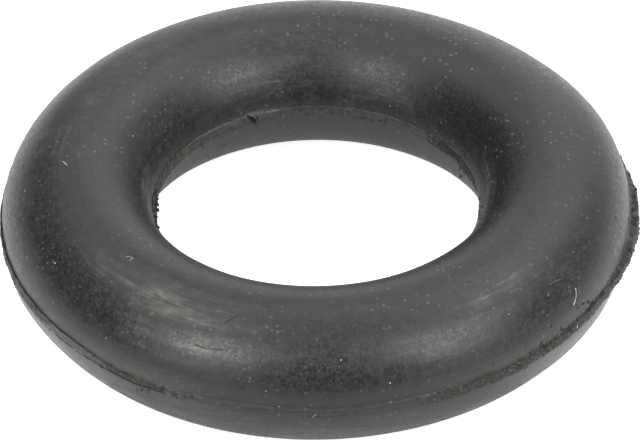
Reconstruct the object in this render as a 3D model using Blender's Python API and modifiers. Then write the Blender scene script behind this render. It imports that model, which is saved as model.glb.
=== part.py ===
"""Exhaust hanger bushing: one moulded ring of black rubber, lying flat.

Metres, +Z up. The origin is the ring's centre, on the parting plane of its two-part mould.
"""

import math
from enum import IntEnum
from typing import NamedTuple

import bpy
from mathutils import Vector, noise

# Ring
OUTER_DIAMETER = 0.0618
BORE_DIAMETER = 0.0319
THICKNESS = 0.0142
CROWN_FLAT = 0.0012  # width of the flat that the ring lies on, and of the one on top
CROWN_SHIFT = 0.0004  # the crown lies this much nearer the bore than the middle of the wall
LOWER_BORE_STEP = 0.00065  # the lower half of the mould left the bore this much wider all round

# Parting land: the wall of rubber left between the halves of the mould, torn off rather than trimmed
OUTER_LAND_TOP = 0.00070  # from the parting plane up to the land's upper edge
OUTER_LAND_BOTTOM = 0.00052  # and down to its lower edge
OUTER_LAND_STAND = 0.00017
BORE_LAND_TOP = 0.00105
BORE_LAND_BOTTOM = 0.00040
BORE_LAND_STAND = 0.00014
LAND_SLOPE = 0.00013  # height of the slanted lip above and below the land's face

# Raggedness of the torn land
COARSE_TEAR_PITCH = 0.0052
FINE_TEAR_PITCH = 0.0017
TEAR_DEPTH = 0.00010
EDGE_WANDER = 0.00018
STAND_VARIATION = 0.3  # share by which the extra flash rises and falls along a tear

# Levels of the noise field, far enough apart that no torn edge repeats another
UPPER_LEVEL = 1.5
LOWER_LEVEL = 4.5
BORE_LEVEL = 8.0
FINE_LEVEL = 20.0

# Fineness of the mesh
TURN_STEPS = 180
QUARTER_STEPS = 6
MERGE_DISTANCE = 0.00001

RUBBER_COLOUR = (0.028, 0.028, 0.029, 1.0)
RUBBER_ROUGHNESS = 0.48
SMOOTH_BELOW = math.radians(32)


class Line(IntEnum):
    """The line that a point of the section draws round the ring."""

    BODY = 0
    OUTER_EDGE = 1
    OUTER_FACE = 2
    BORE_EDGE = 3
    BORE_FACE = 4


class Tear(NamedTuple):
    """A stretch of the land with more flash than usual, or less, as azimuths in degrees from +X."""

    start: float
    full_from: float
    full_to: float
    end: float
    stand: float


OUTER_TEARS = (
    Tear(-34.0, -17.0, 14.0, 30.0, 0.00034),
    Tear(-20.0, -9.0, 5.0, 18.0, 0.00035),
    Tear(-62.0, -56.0, -40.0, -30.0, 0.00006),
    Tear(168.0, 171.0, 177.0, 181.0, -0.00010),
)
BORE_TEARS = (
    Tear(170.0, 174.0, 184.0, 192.0, 0.00013),
    Tear(-12.0, 5.0, 26.0, 44.0, -0.00034),
)


def clear_scene():
    for obj in list(bpy.data.objects):
        bpy.data.objects.remove(obj, do_unlink=True)


def rubber_material():
    material = bpy.data.materials.new("black_rubber")
    material.use_nodes = True
    shader = material.node_tree.nodes["Principled BSDF"]
    shader.inputs["Base Color"].default_value = RUBBER_COLOUR
    shader.inputs["Roughness"].default_value = RUBBER_ROUGHNESS
    shader.inputs["Metallic"].default_value = 0.0
    return material


def quarter_oval(reach, edge_height):
    """Points of one quarter of the section, as (distance from the crown line, height), crown to land edge."""
    crown_angle = math.acos(CROWN_FLAT / 2 / reach)
    half_height = THICKNESS / 2 / math.sin(crown_angle)
    land_angle = math.asin(edge_height / half_height)
    points = []
    for step in range(QUARTER_STEPS + 1):
        angle = crown_angle + (land_angle - crown_angle) * step / QUARTER_STEPS
        points.append((reach * math.cos(angle), half_height * math.sin(angle)))
    return points


def section_points():
    """The closed section as (radius, height, line): down the outside, then up through the bore."""
    outer_radius = OUTER_DIAMETER / 2
    bore_radius = BORE_DIAMETER / 2
    crown_radius = (outer_radius + bore_radius) / 2 - CROWN_SHIFT

    outer_reach = outer_radius - crown_radius
    bore_reach = crown_radius - bore_radius
    upper_outer = quarter_oval(outer_reach, OUTER_LAND_TOP)
    lower_outer = quarter_oval(outer_reach, OUTER_LAND_BOTTOM)
    lower_bore = quarter_oval(bore_reach - LOWER_BORE_STEP, BORE_LAND_BOTTOM)
    upper_bore = quarter_oval(bore_reach, BORE_LAND_TOP)
    outer_face = outer_radius + OUTER_LAND_STAND
    bore_face = bore_radius - BORE_LAND_STAND

    points = [[crown_radius + across, up, Line.BODY] for across, up in upper_outer]
    points[-1][2] = Line.OUTER_EDGE
    points.append([outer_face, OUTER_LAND_TOP - LAND_SLOPE, Line.OUTER_FACE])
    points.append([outer_face, LAND_SLOPE - OUTER_LAND_BOTTOM, Line.OUTER_FACE])
    rising = [[crown_radius + across, -up, Line.BODY] for across, up in reversed(lower_outer)]
    rising[0][2] = Line.OUTER_EDGE
    points += rising

    inward = [[crown_radius - across, -up, Line.BODY] for across, up in lower_bore]
    inward[-1][2] = Line.BORE_EDGE
    points += inward
    points.append([bore_face, LAND_SLOPE - BORE_LAND_BOTTOM, Line.BORE_FACE])
    points.append([bore_face, BORE_LAND_TOP - LAND_SLOPE, Line.BORE_FACE])
    closing = [[crown_radius - across, up, Line.BODY] for across, up in reversed(upper_bore)]
    closing[0][2] = Line.BORE_EDGE
    return points + closing


def turned_ring():
    """The ring as it left a perfect mould, its parting land the same all round."""
    section = section_points()
    count = len(section)
    mesh = bpy.data.meshes.new("hanger_ring_section")
    mesh.from_pydata(
        [(radius, 0.0, height) for radius, height, _ in section],
        [(index, (index + 1) % count) for index in range(count)],
        [],
    )
    lines = mesh.attributes.new("line", "INT", "POINT")
    for item, (_, _, line) in zip(lines.data, section):
        item.value = int(line)

    ring = bpy.data.objects.new("hanger_ring", mesh)
    turn = ring.modifiers.new("turn", "SCREW")
    turn.axis = "Z"
    turn.angle = math.tau
    turn.steps = TURN_STEPS
    turn.render_steps = TURN_STEPS
    turn.use_merge_vertices = True
    turn.merge_threshold = MERGE_DISTANCE
    return ring


def eased(value):
    """Smooth step from 0 to 1."""
    value = min(max(value, 0.0), 1.0)
    return value * value * (3 - 2 * value)


def tear_stand(azimuth, tears):
    """How much further than usual the flash stands at this azimuth, in metres."""
    stand = 0.0
    for tear in tears:
        turn_on = (azimuth - tear.start) % 360.0
        length = tear.end - tear.start
        if turn_on > length:
            continue
        rise = eased(turn_on / (tear.full_from - tear.start))
        fall = eased((length - turn_on) / (tear.end - tear.full_to))
        stand += tear.stand * rise * fall
    return stand


def raggedness(place, pitch, level):
    """Even noise from -1 to 1 along the land, with features about one pitch long."""
    return noise.noise(Vector((place.x / pitch, place.y / pitch, level)))


def tear_flash(mesh):
    """Pulls the land's face and edges out of true where the flash was torn off."""
    lines = [Line(item.value) for item in mesh.attributes["line"].data]
    for vertex, line in zip(mesh.vertices, lines):
        if line is Line.BODY:
            continue
        place = vertex.co.copy()
        place.z = 0.0
        outside = line in (Line.OUTER_EDGE, Line.OUTER_FACE)
        level = (UPPER_LEVEL if vertex.co.z > 0 else LOWER_LEVEL) + (0.0 if outside else BORE_LEVEL)
        coarse = raggedness(place, COARSE_TEAR_PITCH, level)
        fine = raggedness(place, FINE_TEAR_PITCH, level + FINE_LEVEL)
        vertex.co.z += EDGE_WANDER * coarse
        if line in (Line.OUTER_EDGE, Line.BORE_EDGE):
            continue
        azimuth = math.degrees(math.atan2(place.y, place.x))
        stand = tear_stand(azimuth, OUTER_TEARS if outside else BORE_TEARS)
        torn = stand * (1 + STAND_VARIATION * coarse) + TEAR_DEPTH * fine
        outward = place.normalized() if outside else -place.normalized()
        vertex.co += outward * torn


def hanger_ring(collection):
    """One solid ring, with the torn flash of its mould outside and in the bore."""
    ring = turned_ring()
    collection.objects.link(ring)
    section = ring.data
    mesh = bpy.data.meshes.new_from_object(ring.evaluated_get(bpy.context.evaluated_depsgraph_get()))
    mesh.name = "hanger_ring"
    ring.modifiers.clear()
    ring.data = mesh
    bpy.data.meshes.remove(section)

    tear_flash(mesh)
    mesh.shade_smooth()
    mesh.set_sharp_from_angle(angle=SMOOTH_BELOW)
    mesh.materials.append(rubber_material())
    return ring


clear_scene()
bushing = bpy.data.collections.new("exhaust_hanger_bushing")
bpy.context.scene.collection.children.link(bushing)
hanger_ring(bushing)
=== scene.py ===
"""Exhaust hanger bushing: the finish of one moulded ring of black rubber, in a plain studio.

Metres, +Z up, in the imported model's own frame. The origin is the ring's centre, on the parting
plane of its two-part mould. Azimuths are degrees round +Z from +X. Section angles are degrees
round the ring's crown line: 0 at the outside, 90 at the top, 180 in the bore, -90 underneath.
"""

import logging
import math
import random
from dataclasses import dataclass, field
from enum import Enum

import bmesh
import bpy
import numpy as np
from mathutils import Matrix, Vector, noise


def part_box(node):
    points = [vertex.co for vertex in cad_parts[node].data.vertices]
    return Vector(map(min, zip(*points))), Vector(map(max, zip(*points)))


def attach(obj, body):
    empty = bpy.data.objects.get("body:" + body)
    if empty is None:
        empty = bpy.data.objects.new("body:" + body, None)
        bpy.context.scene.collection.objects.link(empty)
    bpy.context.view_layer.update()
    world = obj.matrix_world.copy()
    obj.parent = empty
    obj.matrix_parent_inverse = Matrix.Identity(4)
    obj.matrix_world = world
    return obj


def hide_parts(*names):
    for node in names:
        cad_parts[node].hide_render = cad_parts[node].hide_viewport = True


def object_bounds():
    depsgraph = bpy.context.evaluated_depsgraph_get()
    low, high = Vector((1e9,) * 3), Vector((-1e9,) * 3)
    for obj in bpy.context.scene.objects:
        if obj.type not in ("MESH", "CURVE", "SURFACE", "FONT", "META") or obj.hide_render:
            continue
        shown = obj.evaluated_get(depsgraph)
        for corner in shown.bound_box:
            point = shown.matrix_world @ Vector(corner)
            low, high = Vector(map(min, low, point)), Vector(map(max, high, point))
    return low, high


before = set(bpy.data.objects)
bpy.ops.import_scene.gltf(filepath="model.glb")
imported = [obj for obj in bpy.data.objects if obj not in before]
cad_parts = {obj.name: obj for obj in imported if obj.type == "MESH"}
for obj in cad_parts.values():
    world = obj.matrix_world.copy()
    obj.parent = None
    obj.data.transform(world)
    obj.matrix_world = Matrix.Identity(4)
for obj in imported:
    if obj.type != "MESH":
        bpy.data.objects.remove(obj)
CAD_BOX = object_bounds()

LOG = logging.getLogger("hanger_bushing")
BODY = "root"
RING_NODE = "hanger_ring"
MM = 0.001

Colour = tuple[float, float, float, float]
Socket = bpy.types.NodeSocket
Sources = dict[int | str, object]  # what feeds a node's inputs: sockets or plain values
Spot = tuple[Vector, Vector]  # a place on a surface, and the normal there
Ramp = tuple[float, ...]  # where a texture's rise starts and ends, then its values there if not 0 and 1
Rates = tuple[float, float]  # features in a radian round the ring, and in a radian of the section


def eased(value: float) -> float:
    """Smooth step from 0 to 1."""
    value = min(max(value, 0.0), 1.0)
    return value * value * (3.0 - 2.0 * value)


class Side(Enum):
    """The face of the ring that a parting land runs round; the value is its outward direction."""

    OUTSIDE = 1
    BORE = -1


@dataclass(frozen=True)
class Stretch:
    """Part of the ring's turn over which something is stronger, easing in and out.

    Azimuths are degrees from +X. The amount has the unit of what it changes.
    """

    start: float
    full_from: float
    full_to: float
    end: float
    amount: float

    def at(self, azimuth: float) -> float:
        """What this stretch adds at one azimuth.

        Args:
            azimuth: Degrees from +X.

        Returns:
            The amount, eased down to nothing at both ends of the stretch.
        """
        turn_on = (azimuth - self.start) % 360.0
        length = self.end - self.start
        if turn_on > length:
            return 0.0
        rise = eased(turn_on / (self.full_from - self.start))
        fall = eased((length - turn_on) / (self.end - self.full_to))
        return self.amount * rise * fall


def total_at(stretches: tuple[Stretch, ...], azimuths: np.ndarray) -> np.ndarray:
    """Sum of several stretches.

    Args:
        stretches: The stretches to add up.
        azimuths: Degrees from +X, one for each step of the turn.

    Returns:
        The sum at each azimuth.
    """
    return np.array([sum(stretch.at(azimuth) for stretch in stretches) for azimuth in azimuths])


@dataclass(frozen=True)
class Patch:
    """A soft oval area of the ring's surface, by azimuth and section angle in degrees."""

    azimuth: float
    section: float
    turn_width: float
    section_width: float
    amount: float

    def over(self, azimuths: np.ndarray, sections: np.ndarray) -> np.ndarray:
        """Strength of the patch over a grid of the surface.

        Args:
            azimuths: Azimuth of each grid point, in degrees.
            sections: Section angle of each grid point, in degrees.

        Returns:
            The amount at the patch's middle, falling off as a bell curve.
        """
        turn = (azimuths - self.azimuth + 180.0) % 360.0 - 180.0
        across = (sections - self.section + 180.0) % 360.0 - 180.0
        return self.amount * np.exp(-((turn / self.turn_width) ** 2) - (across / self.section_width) ** 2)


def sum_over(patches: tuple[Patch, ...], azimuths: np.ndarray, sections: np.ndarray) -> np.ndarray:
    """Sum of several patches over a grid of the surface."""
    return sum(patch.over(azimuths, sections) for patch in patches)


@dataclass(frozen=True)
class PartingLand:
    """The band of rubber left between the halves of the mould, torn off and not trimmed.

    A lip rises from the wall at both edges of the land, a groove runs beneath the upper one, and
    rough flash stands on the land where it was torn. Heights are from the parting plane. Levels
    are heights in the noise field, far enough apart that no torn edge repeats another. A land is
    clean where it isn't torn, and still wanders and is rough there by the shares given here.
    """

    side: Side
    top: float
    bottom: float
    rows: int
    level: float
    lip: float
    raised: tuple[Stretch, ...]
    lips: tuple[Stretch, ...]
    flash: tuple[Stretch, ...]
    torn: tuple[Stretch, ...]
    least_torn: float
    groove_depth: float
    flares: tuple[Stretch, ...] = ()
    # painted shade along the creases at the land's upper and lower edges, by azimuth
    upper_crease_shade: tuple[Stretch, ...] = ()
    lower_crease_shade: tuple[Stretch, ...] = ()
    lip_rise: float = 0.13 * MM
    groove_drop: float = 0.36 * MM
    groove_width: float = 0.11 * MM
    flash_rise: float = 0.30 * MM
    crease_shade_width: float = 0.10 * MM
    edge_wander: float = 0.13 * MM
    edge_pitch: float = 2.6 * MM
    chip_depth: float = 0.13 * MM
    chip_pitch: float = 0.7 * MM
    face_depth: float = 0.10 * MM
    face_pitch: float = 1.5 * MM
    grain_depth: float = 0.08 * MM
    grain_pitch: float = 0.38 * MM
    lower_level_step: float = 3.0
    chip_level_step: float = 7.0
    clean_wander: float = 0.35
    clean_roughness: float = 0.15
    flash_onset: float = 0.15
    flash_roughening: float = 0.5
    bare_overlap: float = 0.9

    def edge_heights(self, azimuths: np.ndarray, radius: float, upper: bool) -> np.ndarray:
        """Height of the land's upper or lower edge round the ring.

        Args:
            azimuths: Degrees from +X, one for each step of the turn.
            radius: Radius of the wall that the land stands on.
            upper: True for the edge above the parting plane.

        Returns:
            The height of the edge at each azimuth, in metres.
        """
        level = self.level + (0.0 if upper else self.lower_level_step)
        even = self.top + total_at(self.raised, azimuths) if upper else np.full_like(azimuths, self.bottom)
        heights = []
        for azimuth, share, height in zip(np.radians(azimuths), self.tornness(azimuths), even):
            x, y = radius * math.cos(azimuth), radius * math.sin(azimuth)
            wander = noise.noise(Vector((x / self.edge_pitch, y / self.edge_pitch, level)))
            chip_level = level + self.chip_level_step
            chip = noise.noise(Vector((x / self.chip_pitch, y / self.chip_pitch, chip_level)))
            rough = self.edge_wander * wander + self.chip_depth * chip
            heights.append(height + rough * (self.clean_wander + (1.0 - self.clean_wander) * share))
        return np.array(heights)

    def tornness(self, azimuths: np.ndarray) -> np.ndarray:
        """How torn the land is round the ring, from 0 for a clean lip to 1 for a rough break."""
        return np.clip(self.least_torn + total_at(self.torn, azimuths), 0.0, 1.0)

    def stand_at(self, drop: float, climb: float, rise: float, lip: float, flash: float) -> float:
        """How far the land stands proud of the wall before its roughness, in metres.

        Args:
            drop: Distance beneath the upper edge.
            climb: Distance above the lower edge.
            rise: Height over which the upper lip rises.
            lip: Stand of the lip.
            flash: Stand of the flash beyond the lip.

        Returns:
            The stand, less than nothing in a groove.
        """
        share = min(eased(drop / rise), eased(climb / self.lip_rise))
        groove = self.groove_depth * math.exp(-(((drop - self.groove_drop) / self.groove_width) ** 2))
        fin_rise = self.flash_rise + rise - self.lip_rise
        fin_share = min((drop - rise / 4) / fin_rise, (climb - self.lip_rise / 2) / self.flash_rise)
        fin = flash * eased(fin_share)
        return (lip - groove * self.lip_rise / rise) * share + fin

    def crease_shade_at(self, drop: float, climb: float, upper: float, lower: float) -> float:
        """How much painted shade darkens the creases at the land's edges.

        Args:
            drop: Distance beneath the upper edge.
            climb: Distance above the lower edge.
            upper: Share of painted shade in the upper crease here.
            lower: Share of painted shade in the lower crease here.

        Returns:
            The share of painted shade, from 0 to 1.
        """
        high = upper * math.exp(-(((drop - self.crease_shade_width) / self.crease_shade_width) ** 2))
        low = lower * math.exp(-(((climb - self.crease_shade_width * 2) / self.crease_shade_width) ** 2))
        return max(high, low)

    def roughness_at(self, spot: Vector) -> float:
        """Depth of the torn rubber's roughness at a place, in metres."""
        lifted = Vector((0.0, 0.0, self.level))
        face = noise.noise(spot / self.face_pitch + lifted)
        grain = noise.noise(spot / self.grain_pitch + lifted)
        return self.face_depth * face + self.grain_depth * grain


@dataclass
class Grid:
    """Points of the ring's surface, one row for each step of the turn.

    The first index of each array is the step and the second the point of the section.
    """

    radius: np.ndarray
    height: np.ndarray
    torn: np.ndarray
    # share of painted shade in the land's creases
    crease_shade: np.ndarray
    azimuth: np.ndarray

    def places(self) -> np.ndarray:
        """World places of all points, as rows of x, y and z."""
        turn = np.radians(self.azimuth)
        places = np.stack([self.radius * np.cos(turn), self.radius * np.sin(turn), self.height], axis=-1)
        return places.reshape(-1, 3)


@dataclass(frozen=True)
class Cut:
    """A straight cut in a surface, by its ends, its width each way, how dark it is painted as shade in the
    cut, and how deep it is.

    Its floor is flat where the steepness, over 1, leaves it room, and it rises from there to its edge.
    """

    start: Vector
    end: Vector
    width: float
    share: float
    depth: float
    steepness: float = 1.5

    def sunk(self, places: np.ndarray) -> np.ndarray:
        """How deep the cut is at places on the surface.

        Args:
            places: Rows of x, y and z.

        Returns:
            The depth at each place, in metres.
        """
        start, run = np.array(self.start), np.array(self.end - self.start)
        along = np.clip((places - start) @ run / (run @ run), 0.0, 1.0)
        apart = np.linalg.norm(places - start - along[:, None] * run, axis=1)
        return self.depth * np.clip(self.steepness - self.steepness * apart / self.width, 0.0, 1.0)


class NodeSheet:
    """One material's node tree, with short methods for the nodes that the finishes share."""

    def __init__(self, name: str) -> None:
        """Starts a material with its Principled shader and places in the object's own frame.

        Args:
            name: The material's name.
        """
        self.material = bpy.data.materials.new(name)
        self.material.use_nodes = True
        self.tree = self.material.node_tree
        self.shader = self.tree.nodes["Principled BSDF"]
        self.place = self.put("TexCoord").outputs["Object"]

    def put(self, kind: str, sources: Sources | None = None, **settings: str) -> bpy.types.Node:
        """Adds a node.

        Args:
            kind: The node's type, without the word ShaderNode.
            sources: What feeds its inputs, by their names or numbers.
            **settings: Values of the node's own settings.

        Returns:
            The new node.
        """
        node = self.tree.nodes.new("ShaderNode" + kind)
        for key, value in settings.items():
            setattr(node, key, value)
        for key, source in (sources or {}).items():
            self.feed(node.inputs[key], source)
        return node

    def feed(self, socket: Socket, source: object) -> None:
        """Links a socket to another, or sets its value.

        Args:
            socket: The input to feed.
            source: An output socket, or a plain value.
        """
        if isinstance(source, Socket):
            self.tree.links.new(source, socket)
        else:
            socket.default_value = source

    def calculate(self, operation: str, first: object, second: object = 0.0) -> Socket:
        """Adds a Math node.

        Args:
            operation: The node's operation.
            first: Its first input.
            second: Its second input, where it has one.

        Returns:
            The result's socket.
        """
        return self.put("Math", {0: first, 1: second}, operation=operation).outputs[0]

    def vector(
        self, operation: str, first: object, second: object = (0.0, 0.0, 0.0), scale: object = 1.0
    ) -> bpy.types.Node:
        """Adds a Vector Math node.

        Args:
            operation: The node's operation.
            first: Its first vector.
            second: Its second vector, where it has one.
            scale: Its number, where it has one.

        Returns:
            The node, whose outputs are Vector and Value.
        """
        return self.put("VectorMath", {0: first, 1: second, 3: scale}, operation=operation)

    def product(self, first: object, second: object) -> Socket:
        """Multiplies two values."""
        return self.calculate("MULTIPLY", first, second)

    def mixed(self, factor: object, first: object, second: object) -> Socket:
        """Mixes two plain values.

        Args:
            factor: Share of the second value.
            first: The value at 0.
            second: The value at 1.

        Returns:
            The mixed value's socket.
        """
        return self.put("Mix", {0: factor, 2: first, 3: second}, data_type="FLOAT").outputs[0]

    def stretch_range(
        self, value: object, low: float, high: float, to_low: float = 0.0, to_high: float = 1.0
    ) -> Socket:
        """Maps a value smoothly from one range to another, and holds it at the ends.

        Args:
            value: The value to map.
            low: The value that gives to_low.
            high: The value that gives to_high.
            to_low: The first end of the result.
            to_high: The other end of the result.

        Returns:
            The result's socket.
        """
        limits = dict(enumerate((value, low, high, to_low, to_high)))
        return self.put("MapRange", limits, interpolation_type="SMOOTHSTEP").outputs[0]

    def clouds(
        self, scale: float, detail: float = 2.0, distortion: float = 0.0, place: Socket | None = None
    ) -> Socket:
        """Adds noise texture.

        Args:
            scale: Features for each metre, or for each unit of other coordinates.
            detail: Octaves of finer noise.
            distortion: How far the noise bends itself.
            place: The coordinates' socket, where they aren't the object's own places.

        Returns:
            The noise's socket, from 0 to 1.
        """
        sources = {"Vector": place or self.place, "Scale": scale, "Detail": detail, "Distortion": distortion}
        return self.put("TexNoise", sources).outputs["Fac"]

    def blend(self, factor: object, first: object, second: object) -> Socket:
        """Mixes two colours.

        Args:
            factor: Share of the second colour.
            first: The colour at 0.
            second: The colour at 1.

        Returns:
            The mixed colour's socket.
        """
        return self.put("Mix", {0: factor, 6: first, 7: second}, data_type="RGBA").outputs[2]

    def relief(
        self, height: object, depth: float, strength: float, below: Socket | None = None
    ) -> Socket:
        """Adds bump.

        Args:
            height: The height's socket, from 0 to 1.
            depth: What a height of 1 stands for, in metres.
            strength: Share of the bump that shows.
            below: The normal of the layer under it, where there is one.

        Returns:
            The normal's socket.
        """
        sources = {"Strength": strength, "Distance": depth, "Height": height}
        if below is not None:
            sources["Normal"] = below
        return self.put("Bump", sources).outputs["Normal"]

    def near_cut(self, cut: Cut) -> Socket:
        """How near the surface is to a cut.

        Args:
            cut: The cut.

        Returns:
            A value's socket, the cut's own share on the cut and 0 a width away from it.
        """
        run = cut.end - cut.start
        from_start = self.vector("SUBTRACT", self.place, cut.start).outputs[0]
        along = self.vector("DOT_PRODUCT", from_start, run / run.length_squared).outputs["Value"]
        held = self.put("Clamp", {0: along}).outputs[0]
        reached = self.vector("SCALE", run, scale=held).outputs[0]
        apart = self.vector("DISTANCE", from_start, reached).outputs["Value"]
        return self.stretch_range(apart, 0.0, cut.width, cut.share, 0.0)

    def layer(self, name: str) -> Socket:
        """A value that the mesh carries at its points."""
        return self.put("Attribute", attribute_name=name).outputs["Fac"]


@dataclass(frozen=True)
class RubberFinish:
    """Black moulded rubber: satin, faintly bloomed, and rough and brownish where it was torn, with painted
    highlights, painted floor light and painted shade in its colour.

    Scales are features for each metre, and reliefs are depths of bump. The streaks' and strokes' rates
    follow the ring.
    """

    crown_radius: float
    tone: Colour = (0.0130, 0.0130, 0.0138, 1.0)
    # the lower half's tone, partly its own and partly painted floor light
    wall_and_floor_light_tone: Colour = (0.026, 0.026, 0.022, 1.0)
    # pale bloom, also used for painted highlights and painted floor light
    bloom_and_highlight_tone: Colour = (0.165, 0.159, 0.144, 1.0)
    speck_tone: Colour = (0.110, 0.108, 0.102, 1.0)
    # painted shade: darker patches where the ring lies in shade
    painted_shade_tone: Colour = (0.011, 0.011, 0.011, 1.0)
    # painted shade in the land's creases and in the cuts
    crease_and_cut_shade_tone: Colour = (0.008, 0.007, 0.006, 1.0)
    torn_tone: Colour = (0.036, 0.034, 0.029, 1.0)
    crumb_tone: Colour = (0.140, 0.133, 0.117, 1.0)
    pale_torn_tone: Colour = (0.165, 0.150, 0.134, 1.0)
    polished: float = 0.33
    dull: float = 0.44
    wall_dull: float = 0.36
    mottling: float = 0.17
    mottling_ramp: Ramp = (0.36, 0.64)
    mottling_grain: float = 0.75
    haze_share: float = 0.14
    haze_ramp: Ramp = (0.42, 0.66)
    painted_shade_ramp: Ramp = (0.3, 0.6, 0.4, 1.0)
    crease_shade_ramp: Ramp = (0.22, 0.42)
    torn_ramp: Ramp = (0.35, 0.65)
    torn_spread: float = 1.5
    crumb_ramp: Ramp = (0.54, 0.68)
    pale_ramp: Ramp = (0.35, 0.6, 0.3, 1.0)
    bloom_and_highlight_mottle_ramp: Ramp = (0.36, 0.62, 0.2, 1.0)
    bloom_and_highlight_streak_ramp: Ramp = (0.35, 0.65, 0.35, 1.2)
    bloom_and_highlight_fine_ramp: Ramp = (0.3, 0.7, 0.6, 1.3)
    bloom_and_highlight_stroke_ramp: Ramp = (0.36, 0.66, 0.45, 1.5)
    speck_ramp: Ramp = (0.14, 0.40, 1.0, 0.0)
    speck_choice_ramp: Ramp = (0.55, 0.95)
    speck_drift_ramp: Ramp = (0.40, 0.62, 0.20, 1.0)
    torn_dull: float = 0.85
    ior: float = 1.6
    mottle_scale: float = 170.0
    crease_shade_scale: float = 900.0
    fine_scale: float = 1100.0
    ragged_scale: float = 1500.0
    speck_scale: float = 1900.0
    crumbled_scale: float = 2300.0
    grain_scale: float = 3600.0
    fine_relief: float = 0.034 * MM
    grain_relief: float = 0.020 * MM
    flow_relief: float = 0.05 * MM
    crumbled_relief: float = 0.35 * MM
    nick_relief: float = 0.04 * MM
    fine_strength: float = 0.7
    grain_strength: float = 0.9
    flow_strength: float = 0.35
    nick_strength: float = 0.8
    streak_rates: Rates = (2.6, 11.0)
    stroke_rates: Rates = (11.0, 34.0)
    flow_mark_scale: float = 1.7

    def build(self, cuts: tuple[Cut, ...]) -> bpy.types.Material:
        """Builds the material.

        Args:
            cuts: The cuts in the skin.

        Returns:
            The rubber, which reads the ring's layers of torn rubber, painted shade in the creases, bloom
            with painted highlights and floor light, painted shade in patches, pale, polish and wall.
        """
        sheet = RubberSheet(self, cuts)
        sheet.feed(sheet.shader.inputs["Base Color"], sheet.colour())
        sheet.feed(sheet.shader.inputs["Roughness"], sheet.roughness())
        sheet.feed(sheet.shader.inputs["Normal"], sheet.normal())
        sheet.shader.inputs["IOR"].default_value = self.ior
        return sheet.material


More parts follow.
